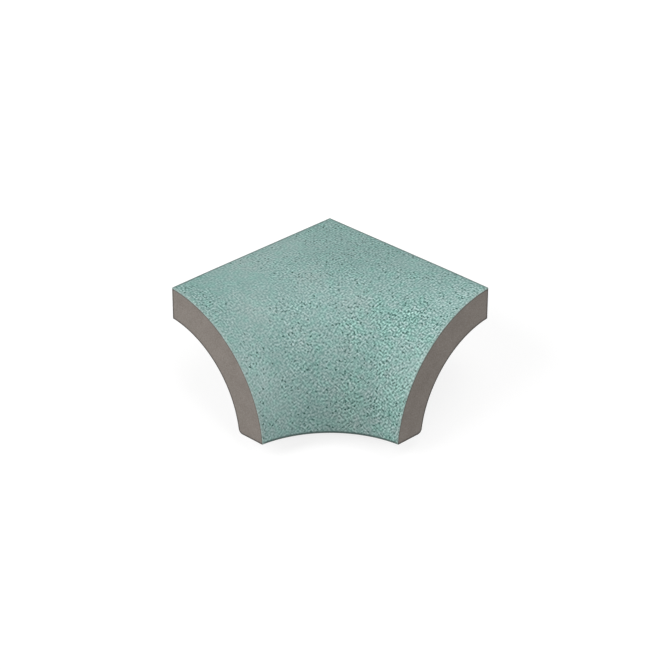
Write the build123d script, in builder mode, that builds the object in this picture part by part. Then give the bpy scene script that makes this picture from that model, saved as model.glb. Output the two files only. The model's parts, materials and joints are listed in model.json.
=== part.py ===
from build123d import *
from math import asin, atan2, cos, degrees, hypot, sin, sqrt
import os

# A pool corner trim: one fired tile that carries the rounded edge of a pool or a step round an
# inside (re-entrant) corner. Its back is a square corner of flat tile, its front rolls over and
# down to a foot, and the roll runs a quarter of the way round an upright line in front of it.

# Driving sizes, in millimetres
leg = 64.0  # side of the square plan, from the rear corner to either end face
body_thickness = 10.0  # fired body, the same all over
edge_radius = 40.0  # rounding of the glazed face from the top down to the front
top_setback = 3.0  # how far beyond the back joint faces the rounding begins
end_setback = 4.0  # from each end face to the line that the rounding turns about
foot_setback = 3.0  # how far above the middle of the rounding the foot is cut off
glaze_bevel = 0.5  # bevel along the foot of the glazed face
foot_rounding = 1.5  # rounding along the back edge of the foot

# The section, as distances from the upright turning line and heights above the flat top
centre_radius = leg + end_setback + top_setback
centre_height = -edge_radius
inner_radius = edge_radius - body_thickness
foot_height = centre_height + foot_setback
rear_radius = hypot(leg + end_setback, leg + end_setback)
blank_radius = rear_radius + body_thickness  # the turned blank reaches past the rear corner


def faceRadius(radius, rise):
    # Distance from the turning line of a rounded face, at a rise above the rounding's middle
    return centre_radius - sqrt(radius**2 - rise**2)


bevel_radius = faceRadius(edge_radius, foot_setback + glaze_bevel)
foot_front_radius = faceRadius(edge_radius, foot_setback) + glaze_bevel
foot_back_radius = faceRadius(inner_radius, foot_setback)

# At rest the tile leans back, on the lower rear corner and on the rounded back edge of its foot
foot_pivot_radius = faceRadius(inner_radius + foot_rounding, foot_setback + foot_rounding)
foot_pivot_height = foot_height + foot_rounding
pivot_reach = rear_radius - foot_pivot_radius
pivot_rise = -body_thickness - foot_pivot_height
lean = atan2(pivot_rise, pivot_reach) + asin(foot_rounding / hypot(pivot_reach, pivot_rise))

# The origin is on the floor, under the middle of the leaning tile's bounding box
front_corner = (end_setback + sqrt(bevel_radius**2 - end_setback**2)) / sqrt(2)
front_reach = front_corner * cos(lean) + (foot_height + glaze_bevel) * sin(lean)
rear_reach = rear_radius * cos(lean)
rest_height = rear_radius * sin(lean) + body_thickness * cos(lean)

# The flat top's plane, with its origin on the turning line, as it leans at rest
top_plane = Plane(
    origin=(0, -(front_reach + rear_reach) / 2, rest_height),
    x_dir=(1, 0, 0),
    z_dir=(0, sin(lean), cos(lean)),
)
# The section stands on the side of the turning line that faces away from the tile
section_plane = Plane(origin=top_plane.origin, x_dir=-top_plane.y_dir, z_dir=-top_plane.x_dir)
# The square plan's sides run half a right angle either side of the line from front to back
plan_plane = Plane(
    origin=top_plane.origin,
    x_dir=top_plane.x_dir + top_plane.y_dir,
    z_dir=top_plane.z_dir,
)
turning_line = Axis(top_plane.origin, top_plane.z_dir)

# The tile
with BuildPart() as corner_tile:
    with BuildSketch(section_plane) as section:
        with BuildLine() as outline:
            middle = (centre_radius, centre_height)
            outer_angle = 180 - degrees(asin((foot_setback + glaze_bevel) / edge_radius))
            inner_angle = 180 - degrees(asin(foot_setback / inner_radius))
            glazed_round = CenterArc(middle, edge_radius, 90, outer_angle - 90)
            flat_top = Line(glazed_round @ 0, (blank_radius, 0))
            blank_end = Line(flat_top @ 1, (blank_radius, -body_thickness))
            bedded_round = CenterArc(middle, inner_radius, 90, inner_angle - 90)
            flat_underside = Line(blank_end @ 1, bedded_round @ 0)
            foot = Line(bedded_round @ 1, (foot_front_radius, foot_height))
            bevel = Line(foot @ 1, glazed_round @ 1)
        make_face()
        foot_back = section.vertices().sort_by_distance((foot_back_radius, foot_height))[0]
        fillet(foot_back, radius=foot_rounding)
    revolve(axis=turning_line)
    with BuildSketch(plan_plane) as plan:
        with Locations((end_setback, end_setback)):
            Rectangle(leg, leg, align=(Align.MIN, Align.MIN))
    extrude(amount=edge_radius, both=True, mode=Mode.INTERSECT)

# The finished piece
corner_tile.part.label = "corner_tile"
os.makedirs("parts", exist_ok=True)
export_step(corner_tile.part, "parts/corner_tile.step")

size = corner_tile.part.bounding_box().size
print("size", round(size.X, 2), round(size.Y, 2), round(size.Z, 2), "lean", round(degrees(lean), 3))
print("volume", round(corner_tile.part.volume / 1000, 3), "cm3", "centre", corner_tile.part.center())
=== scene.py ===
import json
import bpy
import bmesh
import numpy as np
from mathutils import Matrix, Vector


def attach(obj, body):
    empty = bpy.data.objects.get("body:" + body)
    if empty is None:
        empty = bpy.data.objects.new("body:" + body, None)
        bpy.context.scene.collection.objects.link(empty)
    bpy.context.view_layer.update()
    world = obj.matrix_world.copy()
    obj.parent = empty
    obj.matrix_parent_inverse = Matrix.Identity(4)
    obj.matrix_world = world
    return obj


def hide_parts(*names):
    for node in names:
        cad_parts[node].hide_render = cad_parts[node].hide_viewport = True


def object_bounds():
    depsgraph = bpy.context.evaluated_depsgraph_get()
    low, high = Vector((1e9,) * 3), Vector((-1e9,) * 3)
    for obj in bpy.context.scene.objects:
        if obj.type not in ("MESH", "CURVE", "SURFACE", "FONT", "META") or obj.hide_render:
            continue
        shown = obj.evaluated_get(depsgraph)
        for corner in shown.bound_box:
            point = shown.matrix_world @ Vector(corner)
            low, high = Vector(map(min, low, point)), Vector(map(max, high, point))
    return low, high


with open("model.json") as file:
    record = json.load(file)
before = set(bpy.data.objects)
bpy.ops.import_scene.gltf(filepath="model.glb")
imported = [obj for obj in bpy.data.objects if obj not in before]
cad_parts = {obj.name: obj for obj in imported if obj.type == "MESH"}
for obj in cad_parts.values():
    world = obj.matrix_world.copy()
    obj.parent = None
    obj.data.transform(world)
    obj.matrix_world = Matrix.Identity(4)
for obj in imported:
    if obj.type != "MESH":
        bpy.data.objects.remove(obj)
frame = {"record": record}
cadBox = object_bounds()

# A glazed corner trim for a pool's rounded edge: one fired tile. It is worked out lying flat, round
# the upright line that its rounding turns about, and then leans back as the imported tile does.
tile = {
    "leg": 0.064,  # side of the square plan
    "body": 0.010,  # thickness of the fired body
    "edgeRadius": 0.040,  # rounding of the glazed face
    "topSetback": 0.003,  # how far beyond the back faces the rounding begins
    "endSetback": 0.004,  # from an end face to the line that the rounding turns about
    "footSetback": 0.003,  # how far above the rounding's middle the foot is cut
    "glazeBevel": 0.0005,  # bevel along the foot of the glazed face
    "footRounding": 0.0015,  # rounding along the foot's back edge
    "glazeCoat": 0.0003,  # depth of glaze that shows at a cut edge
    "arris": 0.00012,  # wear on every cut edge
    "arrisSteps": 2,  # faces across that wear
    "arrisAngle": 30,  # edges that turn by more degrees than this are worn
    "rows": 141,  # points up the section, foot to back
    "columns": 201,  # points across, left end to right end
    "depths": 15,  # points through the bare body on a cut face
    "joined": 1e-6,  # points closer than this become one
    "shortest": 1e-7,  # edges shorter than this are taken out
}
centreRadius = tile["leg"] + tile["endSetback"] + tile["topSetback"]
innerRadius = tile["edgeRadius"] - tile["body"]
rearRadius = (tile["leg"] + tile["endSetback"]) * np.sqrt(2)
footHeight = tile["footSetback"] - tile["edgeRadius"]


def faceRadius(radius, rise):
    # Distance from the turning line of a round face, at a rise above the rounding's middle
    return centreRadius - np.sqrt(radius**2 - rise**2)


def planPoint(rho, across):
    # Plan of an arc round the turning line, which ends where it meets the end faces: its radius times
    # the sine and the cosine of a share of the end angle, from -1 at the left end to 1 at the right
    turn = across * (np.arccos(tile["endSetback"] / rho) - np.pi / 4)
    return rho * np.sin(turn), rho * np.cos(turn)


def skin(radius, footRadius):
    # Rounded skin: each column's plan is a straight line from the foot's arc to the square back, and
    # each row lies the same share of the way up its own section, an arc of this radius and then a flat
    across = np.linspace(-1, 1, tile["columns"])[None, :]
    up = np.linspace(0, 1, tile["rows"])[:, None]
    footX, footY = planPoint(footRadius, across)
    first = tile["endSetback"] + tile["leg"] * np.minimum(1, 1 + across)
    second = tile["endSetback"] + tile["leg"] * np.minimum(1, 1 - across)
    backX, backY = (first - second) / np.sqrt(2), (first + second) / np.sqrt(2)
    footAngle = np.arcsin((centreRadius - footRadius) / radius)
    backRho = np.hypot(backX, backY)
    backAngle = np.arcsin(np.clip((centreRadius - backRho) / radius, 0, 1))
    length = up * (radius * (footAngle - backAngle) + np.maximum(backRho - centreRadius, 0))
    angle = np.maximum(footAngle - length / radius, 0)
    rho = centreRadius - radius * np.sin(angle) + np.maximum(length - radius * footAngle, 0)
    height = radius * np.cos(angle) - tile["edgeRadius"]
    # Where the straight line from foot to back is this far from the turning line: a quadratic's root
    goX, goY = backX - footX, backY - footY
    square, linear = goX**2 + goY**2, footX * goX + footY * goY
    root = np.sqrt(np.maximum(linear**2 - square * (footRadius**2 - rho**2), 0))
    share = (root - linear) / square
    return np.stack([footX + share * goX, footY + share * goY, height + 0 * share], axis=-1)


def footRows(bevelRadius, bevelHeight):
    # Foot: a profile of the small bevel, the flat and the rounded back edge, carried along arcs round
    # the turning line
    rounding = tile["footRounding"]
    front = faceRadius(tile["edgeRadius"], tile["footSetback"]) + tile["glazeBevel"]
    pivot = faceRadius(innerRadius + rounding, tile["footSetback"] + rounding)
    lift = footHeight + rounding
    last = np.arctan2(-tile["edgeRadius"] - lift, centreRadius - pivot)
    flat = np.linspace(front, pivot, tile["depths"] - tile["depths"] // 2 + 1)
    turn = np.linspace(-np.pi / 2, last, tile["depths"] // 2)[1:]
    rho = np.concatenate([[bevelRadius], flat, pivot + rounding * np.cos(turn)])
    z = np.concatenate([[bevelHeight], 0 * flat + footHeight, lift + rounding * np.sin(turn)])
    x, y = planPoint(rho[:, None], np.linspace(-1, 1, tile["columns"])[None, :])
    return np.stack([x, y, z[:, None] + 0 * x], axis=-1)


def between(first, last, shares):
    # Straight fill: each share of the way from the first line of points to the last
    shares = shares[:, None, None]
    return first[None] * (1 - shares) + last[None] * shares


def measures(points):
    # Distances from the nearer end face, the nearer back face and the glazed skin
    x, y, z = points[..., 0], points[..., 1], points[..., 2]
    first = (x + y) / np.sqrt(2) - tile["endSetback"]
    second = (y - x) / np.sqrt(2) - tile["endSetback"]
    rho = np.hypot(x, y)
    bend = np.hypot(centreRadius - np.minimum(rho, centreRadius), z + tile["edgeRadius"])
    near, far = np.minimum(first, second), np.maximum(first, second)
    return near, tile["leg"] - far, tile["edgeRadius"] - bend


def arrisDistance(points, kind):
    # Distance to the nearest sharp edge of the face that a grid of points makes
    near, back, depth = measures(points)
    through = np.minimum(depth, tile["body"] - depth)
    edges = {
        "skin": [near, back],
        "foot": [near, depth],
        "back": [through, near, tile["leg"] - near],
        "end": [through, back, points[..., 2] - footHeight],
    }[kind]
    return np.maximum(np.minimum.reduce(edges), 0)


def gridFaces(start, rows, columns):
    # Four corners of every cell of a grid, numbered along its rows
    corner = start + np.arange(rows - 1)[:, None] * columns + np.arange(columns - 1)[None, :]
    cells = [corner, corner + 1, corner + columns + 1, corner + columns]
    return np.stack(cells, axis=-1).reshape(-1, 4)


def buildTile():
    # All the tile's grids, as points, faces, the material of each face and each point's arris distance
    bevelRise = tile["footSetback"] + tile["glazeBevel"]
    bevelRadius = faceRadius(tile["edgeRadius"], bevelRise)
    outer = skin(tile["edgeRadius"], bevelRadius)
    foot = footRows(bevelRadius, bevelRise - tile["edgeRadius"])
    inner = skin(innerRadius, np.hypot(*foot[-1, 0, :2]))
    coat = tile["glazeCoat"] / tile["body"]
    shares = np.concatenate([[0], np.linspace(coat, 1, tile["depths"])])
    back = between(outer[-1], inner[-1], shares)
    glazed, cut, bare, hidden = 0, 1, 2, 3
    grids = [(outer, glazed, "skin"), (foot[:2], glazed, "skin"), (foot[1:], bare, "foot")]
    grids += [(inner, hidden, "skin"), (back[:2], cut, "back"), (back[1:], hidden, "back")]
    for end in (0, -1):
        through = between(outer[:, end], inner[:, end], shares).transpose(1, 0, 2)
        face = np.concatenate([foot[None, :, end], through])
        grids += [(face[:, :2], cut, "end"), (face[:, 1:], bare, "end")]
    points, faces, finish, arris, start = [], [], [], [], 0
    for grid, kind, face in grids:
        cells = gridFaces(start, *grid.shape[:2])
        points.append(grid.reshape(-1, 3))
        faces.append(cells)
        finish.append(np.full(len(cells), kind))
        arris.append(arrisDistance(grid, face).ravel())
        start += grid.shape[0] * grid.shape[1]
    return [np.concatenate(part) for part in (points, faces, finish, arris)]


def rest(points):
    # Turn from the flat attitude to the resting one, whose lean the bedding face's normal gives
    bedding = next(m for m in frame["record"]["mounts"] if m["name"] == "bedding_face")
    lean, level = -bedding["axis"][1], -bedding["axis"][2]
    x, y, z = points.T
    originY = cadBox[1].y - rearRadius * level
    originZ = rearRadius * lean + tile["body"] * level
    return np.stack([x, originY + y * level + z * lean, originZ - y * lean + z * level], axis=-1)


# Large soft places in the glaze: how far right of the middle, how far in front of the rear corner,
# radius, strength
mottling = {
    "pale": [  # thin and greyish
        (-0.0225, 0.0490, 0.0050, 0.8),
        (-0.0060, 0.0365, 0.0045, 0.9),
        (0.0073, 0.0445, 0.0050, 0.7),
        (-0.0071, 0.0546, 0.0045, 0.3),
        (0.0043, 0.0554, 0.0035, 0.6),
        (0.0040, 0.0665, 0.0070, 1.0),
        (0.0130, 0.0680, 0.0060, 0.3),
        (0.0115, 0.0515, 0.0030, 0.3),
        (-0.0140, 0.0180, 0.0070, 0.5),
        (-0.0245, 0.0310, 0.0060, 0.8),
    ],
    "flecked": [  # greener, with a stronger speckle
        (0.0064, 0.0522, 0.0038, 1.0),
        (0.0225, 0.0525, 0.0050, 1.0),
        (0.0180, 0.0675, 0.0055, 0.9),
        (0.0060, 0.0635, 0.0045, 1.0),
        (0.0143, 0.0596, 0.0035, 0.5),
        (0.0270, 0.0585, 0.0040, 0.6),
        (0.0132, 0.0470, 0.0040, 0.6),
        (0.0160, 0.0545, 0.0040, 0.6),
        (-0.0042, 0.0560, 0.0050, 0.5),
        (-0.0370, 0.0490, 0.0030, 0.2),
        (-0.0155, 0.0630, 0.0045, 0.2),
    ],
    "calm": [  # with a weaker speckle
        (-0.0290, 0.0390, 0.0090, 1.0),
        (-0.0130, 0.0200, 0.0090, 0.7),
        (-0.0235, 0.0550, 0.0050, 0.6),
        (-0.0180, 0.0640, 0.0060, 0.5),
        (-0.0150, 0.0455, 0.0050, 0.4),
        (0.0092, 0.0575, 0.0030, 0.4),
        (0.0300, 0.0390, 0.0070, 0.5),
    ],
    # Paler places, partly the glaze's own and partly painted light
    "light": [
        (-0.0160, 0.0680, 0.0120, 0.4),
        (-0.0225, 0.0650, 0.0060, 0.8),
        (-0.0280, 0.0610, 0.0040, 0.3),
        (-0.0100, 0.0560, 0.0030, 0.2),
        (0.0075, 0.0500, 0.0030, 0.2),
        (0.0380, 0.0500, 0.0100, 0.5),
        (0.0160, 0.0705, 0.0050, 0.5),
        (-0.0120, 0.0680, 0.0060, 0.25),
        (0.0315, 0.0520, 0.0040, 0.2),
        (0.0190, 0.0465, 0.0040, 0.15),
    ],
    # Darker places, partly the glaze's own and partly painted shade
    "dark": [
        (0.0000, 0.0080, 0.0170, 0.4),
        (0.0110, 0.0240, 0.0110, 0.45),
        (-0.0050, 0.0240, 0.0050, 0.3),
        (0.0290, 0.0370, 0.0050, 0.2),
        (0.0060, 0.0620, 0.0090, 0.3),
        (0.0185, 0.0630, 0.0050, 0.25),
        (-0.0100, 0.0605, 0.0060, 0.2),
        (-0.0400, 0.0445, 0.0080, 0.2),
        (-0.0135, 0.0455, 0.0040, 0.25),
        (-0.0160, 0.0610, 0.0030, 0.2),
        (0.0200, 0.0250, 0.0060, 0.15),
    ],
}


def softSpots(points, spots):
    # Sum of round bumps in plan: strength times e to the minus square of distance over radius
    x, front = points[:, 0], rearRadius - points[:, 1]
    total = np.zeros(len(points))
    for right, back, radius, strength in spots:
        total += strength * np.exp(-((x - right) ** 2 + (front - back) ** 2) / radius**2)
    return np.minimum(total, 1)


points, faces, finish, arris = buildTile()
near, back = measures(points)[:2]
layers = {name: softSpots(points, spots) for name, spots in mottling.items()}
layers.update(fromArris=arris, fromEnd=near, fromBack=back, fromFoot=points[:, 2] - footHeight)
mesh = bpy.data.meshes.new("cornerTile")
mesh.from_pydata(rest(points), [], faces.tolist())
mesh.polygons.foreach_set("material_index", finish.astype(np.int32))
for name, values in layers.items():
    layer = mesh.attributes.new(name, "FLOAT", "POINT")
    layer.data.foreach_set("value", values.astype(np.float32))
work = bmesh.new()
work.from_mesh(mesh)
bmesh.ops.remove_doubles(work, verts=work.verts, dist=tile["joined"])
bmesh.ops.dissolve_degenerate(work, edges=work.edges, dist=tile["shortest"])
bmesh.ops.recalc_face_normals(work, faces=work.faces)
openEdges = sum(1 for edge in work.edges if len(edge.link_faces) != 2)
work.to_mesh(mesh)
work.free()
mesh.polygons.foreach_set("use_smooth", np.ones(len(mesh.polygons), bool))
facing = np.empty(3 * len(mesh.vertices), np.float32)
mesh.vertices.foreach_get("normal", facing)
mesh.attributes.new("facing", "FLOAT_VECTOR", "POINT").data.foreach_set("vector", facing)
cornerTile = bpy.data.objects.new("cornerTile", mesh)
bpy.context.scene.collection.objects.link(cornerTile)
arrises = cornerTile.modifiers.new("arrises", "BEVEL")
arrises.width = tile["arris"]
arrises.segments = tile["arrisSteps"]
arrises.limit_method = "ANGLE"
arrises.angle_limit = np.radians(tile["arrisAngle"])
arrises.harden_normals = True
print("tile mesh:", len(mesh.vertices), "points,", len(mesh.polygons), "faces,", openEdges, "open edges")


class Wire:
    # One shader socket that can be added, subtracted and multiplied
    def __init__(self, recipe, socket):
        self.recipe, self.socket = recipe, socket

    def maths(self, operation, first, second):
        return self.recipe.add("ShaderNodeMath", {"operation": operation}, [first, second])

    def __add__(self, other):
        return self.maths("ADD", self, other)

    def __sub__(self, other):
        return self.maths("SUBTRACT", self, other)

    def __rsub__(self, other):
        return self.maths("SUBTRACT", other, self)

    def __mul__(self, other):
        return self.maths("MULTIPLY", self, other)

    __radd__ = __add__
    __rmul__ = __mul__

    def most(self, other):
        return self.maths("MAXIMUM", self, other)

    def limited(self):
        # Held between 0 and 1
        return self.maths("MINIMUM", self.most(0.0), 1.0)

    def rise(self, low, high):
        # 0 below low and 1 above high, eased between
        values = {"Value": self, "From Min": low, "From Max": high, "To Min": 0.0, "To Max": 1.0}
        return self.recipe.add("ShaderNodeMapRange", {"interpolation_type": "SMOOTHSTEP"}, values)


class Recipe:
    # The node tree of its owner, a material or the world
    def __init__(self, owner):
        owner.use_nodes = True
        self.owner, self.tree = owner, owner.node_tree
        self.tree.nodes.clear()

    def node(self, kind, settings, values):
        # Makes a node: its settings first, then a value or a link for each socket
        made = self.tree.nodes.new(kind)
        for name, value in settings.items():
            if name == "stops":
                while len(made.color_ramp.elements) < len(value):
                    made.color_ramp.elements.new(1.0)
                for stop, (position, shade) in zip(made.color_ramp.elements, value):
                    stop.position, stop.color = position, shade
            else:
                setattr(made, name, value)
        for key, value in values.items() if isinstance(values, dict) else enumerate(values):
            if isinstance(value, Wire):
                self.tree.links.new(value.socket, made.inputs[key])
            else:
                made.inputs[key].default_value = value
        return made

    def add(self, kind, settings, values, output=0):
        return Wire(self, self.node(kind, settings, values).outputs[output])

    def vector(self, operation, values, output=0):
        # Vector maths: output 0 is a vector and output 1 a number
        return self.add("ShaderNodeVectorMath", {"operation": operation}, values, output)

    def mix(self, share, first, second, blend="MIX"):
        # Colours mixed by a share: sockets 0, 6 and 7 of the colour Mix node, whose result is output 2
        settings = {"data_type": "RGBA", "blend_type": blend}
        return self.add("ShaderNodeMix", settings, {0: share, 6: first, 7: second}, 2)

    def ramp(self, tone, stops):
        return self.add("ShaderNodeValToRGB", {"stops": stops}, [tone])

    def place(self):
        # Object coordinates: output 3 of the Texture Coordinate node
        return self.add("ShaderNodeTexCoord", {}, {}, 3)

    def layer(self, name, output=2):
        # What the mesh carries at each point: output 2 of the Attribute node, or 1 for a direction
        return self.add("ShaderNodeAttribute", {"attribute_name": name}, {}, output)

    def shifted(self, place, distance):
        # The same place, moved so that a second pattern differs from the first
        return self.vector("ADD", [place, (distance, distance, distance)])

    def noise(self, place, size, detail):
        # Soft random value round 0, on features of this size in metres
        values = {"Vector": place, "Scale": 1 / size, "Detail": detail}
        settings = {"noise_dimensions": "3D", "normalize": True}
        return self.add("ShaderNodeTexNoise", settings, values) - 0.5

    def crispNoise(self, place, size, detail, reach, share):
        # Noise less a share of the mean of four places round it, which lie this reach away on the
        # surface: its broad part goes, and short strokes are left
        facing = self.layer("facing", 1)
        along = self.vector("NORMALIZE", [self.vector("CROSS_PRODUCT", [facing, (1, 0, 0)])])
        across = self.vector("CROSS_PRODUCT", [facing, along])
        total = self.noise(place, size, detail)
        for way in (along, across):
            for distance in (-reach, reach):
                there = self.vector("ADD", [place, self.vector("SCALE", {0: way, 3: distance})])
                total = total - self.noise(there, size, detail) * (share / 4)
        return total

    def dots(self, place, size, inner, outer, ragged=0.0):
        # Scattered dots, one in each random cell of this size: 1 within the inner radius, 0 past the
        # outer, and a ragged edge where that value varies. Each cell also has a chance, from 0 to 1
        values = {"Vector": place, "Scale": 1 / size}
        cells = self.node("ShaderNodeTexVoronoi", {"voronoi_dimensions": "3D"}, values)
        apart = Wire(self, cells.outputs["Distance"]) + ragged
        chance = self.add("ShaderNodeSeparateColor", {}, [Wire(self, cells.outputs["Color"])])
        return 1 - apart.rise(inner / size, outer / size), chance

    def spot(self, place, centre, inner, outer):
        # One dot round a point
        return 1 - self.vector("DISTANCE", [place, centre], 1).rise(inner, outer)

    def seen(self):
        # 1 for what the camera sees directly, in gloss or through glass, 0 for what lights the tile
        rays = self.node("ShaderNodeLightPath", {}, {})
        kinds = ("Is Camera Ray", "Is Glossy Ray", "Is Transmission Ray")
        direct, shine, passed = (Wire(self, rays.outputs[kind]) for kind in kinds)
        return direct.most(shine).most(passed)

    def finish(self, shader):
        self.node("ShaderNodeOutputMaterial", {}, {"Surface": shader})
        return self.owner

    def fired(self, look, shade, roughness, height):
        # Finishes a fired surface, with its relief as a bump
        values = {"Strength": look["bump"], "Distance": look["bumpDepth"], "Height": height}
        normal = self.add("ShaderNodeBump", {}, values)
        values = {"Base Color": shade, "Roughness": roughness, "Normal": normal}
        return self.finish(self.add("ShaderNodeBsdfPrincipled", {}, values))


def colour(red, green, blue):
    # A screen colour, 0 to 255 a channel, as the light values that shaders use
    screen = np.array([red, green, blue]) / 255
    light = np.where(screen <= 0.04045, screen / 12.92, ((screen + 0.055) / 1.055) ** 2.4)
    return (*light.tolist(), 1.0)


def toneStops(middle, tones, reach=(1, 1, 1)):
    # Ramp stops, evenly from 0 to 1: the middle colour with each tone times a channel's reach added
    changes = np.outer(tones, reach)
    shades = [colour(*np.clip(middle + change, 0, 255)) for change in changes]
    return [(n / (len(tones) - 1), shade) for n, shade in enumerate(shades)]


def skinPoint(right, front):
    # A place on the glazed skin, as the tile rests: its height is the section's at that distance
    back = rearRadius - front
    inward = max(centreRadius - np.hypot(right, back), 0)
    height = np.sqrt(tile["edgeRadius"] ** 2 - inward**2) - tile["edgeRadius"]
    return tuple(rest(np.array([[right, back, height]]))[0])


# A noise is given by its size and detail, dots by the size of their cells, their inner and their
# outer radius, and a fade by where it starts and where it ends
glaze = {
    "middle": (137.5, 172.2, 167.3),  # sea green, on average
    "tones": (-90, -60, -30, 0, 26, 50, 70),  # from the darkest grain to the palest
    "reach": (1.16, 1.0, 1.03),  # how far red, green and blue follow a tone
    "speckle": 0.91,  # strength of the grain, flecks and specks, on average
    "cloud": (0.008, 1.5),  # noise that makes this strength vary
    "cloudSpeckle": 1.1,  # by how much
    "fleckedSpeckle": 0.55,  # added where the glaze is flecked
    "calmSpeckle": 0.5,  # taken away where it is calm
    "grain": (0.00065, 1.0),  # noise of short strokes, pale and dark
    "grainReach": 0.0005,  # how far round a place its broad part is taken from
    "grainBroad": 0.9,  # share of that broad part that is taken away
    "grainFade": (-0.4, 0.4),
    "grainStrength": 0.64,
    "flecks": (0.0009, 0.00017, 0.00035),  # small, dark and ragged
    "fleckChance": (0.5, 0.8),
    "fleckEdge": (0.00025, 0.0),  # noise that makes a fleck ragged
    "fleckRagged": (0.5, 0.7),  # how much the grain and that noise do so
    "specks": (0.0007, 0.00004, 0.00026),  # smaller and pale
    "speckShift": 0.05,
    "speckChance": (0.4, 0.9),
    "speckStrength": 0.22,
    "drift": (0.004, 2.0),  # noise of softly paler and darker places
    "driftStrength": 0.13,
    "paintedBackShade": 0.026,  # painted shade: how much darker it is towards the back edges
    "backFade": (0.001, 0.005),
    "paintedFootLight": 0.018,  # painted light: how much paler it is towards the foot
    "footFade": (0.002, 0.007),
    "mottleStrength": 0.1,  # of the large light and dark places, partly the glaze's own and partly painted light and shade
    "hue": (0.0024, 1.5),  # noise of greener and greyer places
    "hueShift": 0.02,
    "hueStrength": 3.0,
    "fleckedGreen": 0.75,  # how much greener a flecked place is
    "paleGrey": 0.7,  # how much greyer a pale place is
    "greenTint": (0.87, 1.03, 0.975, 1),
    "greyTint": (1.08, 0.985, 1.0, 1),
    "pale": (166, 182, 178),  # the pinkish grey of the pale places
    "paleShare": 0.25,
    "fleck": (4, 74, 65),  # the dark green of the flecks and pinholes
    # Single dark pinholes: how far right of the middle and in front of the rear corner
    "pinholes": [(-0.0164, 0.0610), (-0.0036, 0.0587), (-0.0164, 0.0689), (0.0365, 0.0372)],
    "pinholeFade": (0.0001, 0.0004),
    "rim": (48, 74, 68),  # painted shade along the cut back edges and the foot's bevel
    "rimShare": 0.9,
    "backRim": 0.8,  # the back edges' share of it
    "backRimFade": (0.0002, 0.0009),
    "footRimFade": (0.0007, 0.0012),
    "edge": (190, 206, 199),  # where the coat thins at an end face; on the glazed side this is partly a painted highlight along that edge
    "edgeShare": 0.2,
    "edgeFade": (0.0002, 0.0012),
    "cutShare": 0.35,  # of the edge's colour on the coat's cut face
    "roughness": 0.5,
    "grainRoughness": 0.2,
    "grainHeight": 0.6,
    "wave": (0.0016, 1.0),  # noise of the glaze's soft relief
    "waveHeight": 1.5,
    "bump": 0.25,
    "bumpDepth": 0.00006,
}


def glazeMaterial(name, cut):
    recipe = Recipe(bpy.data.materials.new(name))
    place = recipe.place()
    pale, flecked, calm, light, dark = (recipe.layer(kind) for kind in mottling)
    fromEnd, fromBack, fromFoot = (recipe.layer(kind) for kind in ("fromEnd", "fromBack", "fromFoot"))
    strength = glaze["speckle"] + recipe.noise(place, *glaze["cloud"]) * glaze["cloudSpeckle"]
    strength = strength + flecked * glaze["fleckedSpeckle"] - calm * glaze["calmSpeckle"]
    grain = recipe.crispNoise(place, *glaze["grain"], glaze["grainReach"], glaze["grainBroad"])
    byGrain, byNoise = glaze["fleckRagged"]
    ragged = grain * byGrain + recipe.noise(place, *glaze["fleckEdge"]) * byNoise
    dot, chance = recipe.dots(place, *glaze["flecks"], ragged)
    fleck = dot * (chance * strength).rise(*glaze["fleckChance"])
    dot, chance = recipe.dots(recipe.shifted(place, glaze["speckShift"]), *glaze["specks"])
    speck = dot * chance.rise(*glaze["speckChance"])
    crystals = grain.rise(*glaze["grainFade"]) - 0.5
    # Tone, from 0 for the darkest to 1 for the palest
    tone = crystals * glaze["grainStrength"] + speck * glaze["speckStrength"]
    tone = 0.5 + tone * strength + recipe.noise(place, *glaze["drift"]) * glaze["driftStrength"]
    # Painted shade towards the back edges, then painted light towards the foot
    tone = tone - (1 - fromBack.rise(*glaze["backFade"])) * glaze["paintedBackShade"]
    tone = tone + (1 - fromFoot.rise(*glaze["footFade"])) * glaze["paintedFootLight"]
    # Large paler and darker places: partly the glaze's own, partly painted light and shade
    tone = tone + (light - dark) * glaze["mottleStrength"]
    shade = recipe.ramp(tone, toneStops(glaze["middle"], glaze["tones"], glaze["reach"]))
    # Greener and greyer places, flecks and pinholes
    hue = recipe.noise(recipe.shifted(place, glaze["hueShift"]), *glaze["hue"]) * glaze["hueStrength"]
    green = (hue + flecked * glaze["fleckedGreen"]).limited()
    grey = (pale * glaze["paleGrey"] - hue).limited()
    shade = recipe.mix(green, shade, glaze["greenTint"], "MULTIPLY")
    shade = recipe.mix(grey, shade, glaze["greyTint"], "MULTIPLY")
    shade = recipe.mix(pale * glaze["paleShare"], shade, colour(*glaze["pale"]))
    for right, front in glaze["pinholes"]:
        fleck = fleck + recipe.spot(place, skinPoint(right, front), *glaze["pinholeFade"])
    shade = recipe.mix(fleck.limited(), shade, colour(*glaze["fleck"]))
    # Rims of painted shade, and pale edges that are partly a painted highlight
    if cut:
        shade = recipe.mix(glaze["cutShare"], shade, colour(*glaze["edge"]))
    else:
        # Painted shade along the back edges and the foot's bevel
        backRim = glaze["backRim"] * (1 - fromBack.rise(*glaze["backRimFade"]))
        rim = (backRim + (1 - fromFoot.rise(*glaze["footRimFade"]))).limited()
        # Paler where the coat thins at an end face, partly a painted highlight along that edge
        thinCoatHighlight = 1 - fromEnd.rise(*glaze["edgeFade"])
        shade = recipe.mix(rim * glaze["rimShare"], shade, colour(*glaze["rim"]))
        shade = recipe.mix(thinCoatHighlight * glaze["edgeShare"], shade, colour(*glaze["edge"]))
    roughness = glaze["roughness"] + grain * glaze["grainRoughness"]
    wave = recipe.noise(place, *glaze["wave"])
    height = grain * glaze["grainHeight"] + wave * glaze["waveHeight"]
    return recipe.fired(glaze, shade, roughness, height)


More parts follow.
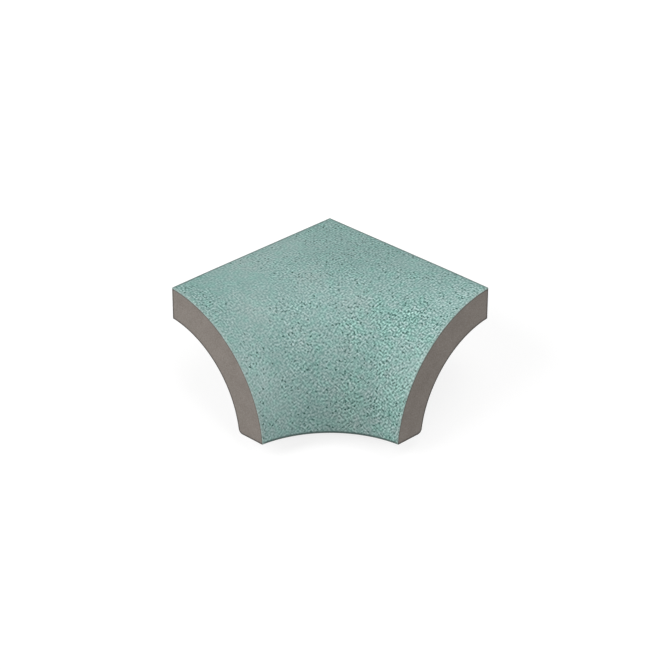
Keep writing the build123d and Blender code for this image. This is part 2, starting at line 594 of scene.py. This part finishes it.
body = {
    "middle": (147.5, 139.5, 132.5),  # warm grey, fired hard
    "tones": (-24, -12, 0, 12, 24),
    "cloud": (0.005, 2.0),
    "cloudStrength": 0.45,
    "grain": (0.0004, 1.0),
    "grainStrength": 0.9,
    "pits": (0.0018, 0.00004, 0.00014),  # small and dark
    "pitChance": (0.5, 0.9),
    "pitStrength": 0.4,
    "rim": (66, 62, 58),  # along its arrises
    "rimFade": (0.00015, 0.0008),
    "firedRim": 0.95,  # how dark that is on the end faces and the foot
    "beddedRim": 0.35,  # and on the back faces and the underside
    "roughness": 0.85,
    "grainRoughness": 0.1,
    "grainHeight": 0.8,
    "wave": (0.0015, 2.0),
    "pitHeight": 1.5,
    "bump": 0.4,
    "bumpDepth": 0.00006,
}


def bodyMaterial(name, rimShare):
    recipe = Recipe(bpy.data.materials.new(name))
    place = recipe.place()
    dot, chance = recipe.dots(place, *body["pits"])
    pit = dot * chance.rise(*body["pitChance"])
    grain = recipe.noise(place, *body["grain"])
    tone = 0.5 + recipe.noise(place, *body["cloud"]) * body["cloudStrength"]
    tone = tone + grain * body["grainStrength"] - pit * body["pitStrength"]
    shade = recipe.ramp(tone, toneStops(body["middle"], body["tones"]))
    rim = 1 - recipe.layer("fromArris").rise(*body["rimFade"])
    shade = recipe.mix(rim * rimShare, shade, colour(*body["rim"]))
    roughness = body["roughness"] + grain * body["grainRoughness"]
    height = grain * body["grainHeight"] + recipe.noise(place, *body["wave"])
    return recipe.fired(body, shade, roughness, height - pit * body["pitHeight"])


mesh.materials.append(glazeMaterial("glaze", False))
mesh.materials.append(glazeMaterial("glazeEdge", True))
mesh.materials.append(bodyMaterial("firedBody", body["firedRim"]))
mesh.materials.append(bodyMaterial("beddedBody", body["beddedRim"]))
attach(cornerTile, "root")
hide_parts("corner_tile")
print("tile: glaze and fired body")

# The floor, which shows white round the tile's own soft shadow
floorLook = {
    "size": 4.0,
    "seen": 0.3,  # how pale its matt part looks near the tile, where it takes the shadow
    "lift": 0.8,  # its own glow there
    "bounce": 0.35,  # how pale it is to the light that it throws back on the tile
    "shadeEnds": (0.25, 0.6),  # distances between which the shadow gives way to plain white
}


def floorMaterial():
    recipe = Recipe(bpy.data.materials.new("floor"))
    seen = recipe.seen()
    near = 1 - recipe.vector("LENGTH", [recipe.place()], 1).rise(*floorLook["shadeEnds"])
    tone = seen * (near * floorLook["seen"] - floorLook["bounce"]) + floorLook["bounce"]
    shade = recipe.add("ShaderNodeCombineColor", {}, [tone, tone, tone])
    matt = recipe.add("ShaderNodeBsdfDiffuse", {}, {"Color": shade})
    strength = seen * (1 - near * (1 - floorLook["lift"]))
    glow = recipe.add("ShaderNodeEmission", {}, {"Strength": strength})
    return recipe.finish(recipe.add("ShaderNodeAddShader", {}, [matt, glow]))


half = floorLook["size"] / 2
corners = [(-half, -half, 0), (half, -half, 0), (half, half, 0), (-half, half, 0)]
floorMesh = bpy.data.meshes.new("floor")
floorMesh.from_pydata(corners, [], [(0, 1, 2, 3)])
floorMesh.materials.append(floorMaterial())
floor = bpy.data.objects.new("floor", floorMesh)
bpy.context.scene.collection.objects.link(floor)
print("floor")

# Soft studio light: azimuth 0 is in front, minus to the left
lamps = {
    "left": {"azimuth": -90, "elevation": 35, "distance": 1.0, "size": 0.8, "watts": 7.7},
    "right": {"azimuth": 60, "elevation": 35, "distance": 1.0, "size": 0.8, "watts": 3.4},
    "back": {"azimuth": 150, "elevation": 60, "distance": 1.0, "size": 0.8, "watts": 3.5},
}
ambient = 0.15  # light from all round, as a share of the white that the camera sees there


def direction(azimuth, elevation):
    # Unit vector from the tile towards a light or the camera
    turn, tilt = np.radians(azimuth), np.radians(elevation)
    return Vector((np.sin(turn) * np.cos(tilt), -np.cos(turn) * np.cos(tilt), np.sin(tilt)))


middle = (cadBox[0] + cadBox[1]) / 2
for name, lamp in lamps.items():
    light = bpy.data.lights.new(name, "AREA")
    light.shape = "DISK"
    light.size = lamp["size"]
    light.energy = lamp["watts"]
    holder = bpy.data.objects.new(name, light)
    away = direction(lamp["azimuth"], lamp["elevation"])
    holder.location = middle + away * lamp["distance"]
    holder.rotation_euler = away.to_track_quat("Z", "Y").to_euler()
    bpy.context.scene.collection.objects.link(holder)

world = bpy.data.worlds.new("studio")
bpy.context.scene.world = world
recipe = Recipe(world)
brightness = ambient + recipe.seen() * (1 - ambient)
sky = recipe.add("ShaderNodeBackground", {}, {"Strength": brightness})
recipe.node("ShaderNodeOutputWorld", {}, {"Surface": sky})
print("lamps and world")

# The camera, at the photograph's angle to the leaning tile
cameraView = {
    "azimuth": -0.438,
    "elevation": 54.240,
    "roll": 0.360,
    "distance": 0.74659,
    "aim": (0.001219, -0.011731, 0.020681),
    "lens": 140.30,  # in millimetres
    "sensor": 36,  # its width, in millimetres too
    "nearest": 0.01,  # what is closer than this isn't shown
}
away = direction(cameraView["azimuth"], cameraView["elevation"])
level = Vector((0, 0, 1)).cross(away).normalized()
steep = away.cross(level)
roll = np.radians(cameraView["roll"])
right = level * np.cos(roll) + steep * np.sin(roll)
upward = steep * np.cos(roll) - level * np.sin(roll)
cameraData = bpy.data.cameras.new("camera")
cameraData.lens = cameraView["lens"]
cameraData.sensor_width = cameraView["sensor"]
cameraData.sensor_fit = "AUTO"
cameraData.clip_start = cameraView["nearest"]
camera = bpy.data.objects.new("camera", cameraData)
stand = Matrix.Translation(Vector(cameraView["aim"]) + away * cameraView["distance"])
camera.matrix_world = stand @ Matrix((right, upward, away)).transposed().to_4x4()
bpy.context.scene.collection.objects.link(camera)
bpy.context.scene.camera = camera
bpy.context.scene.view_settings.view_transform = "Standard"
print("camera")
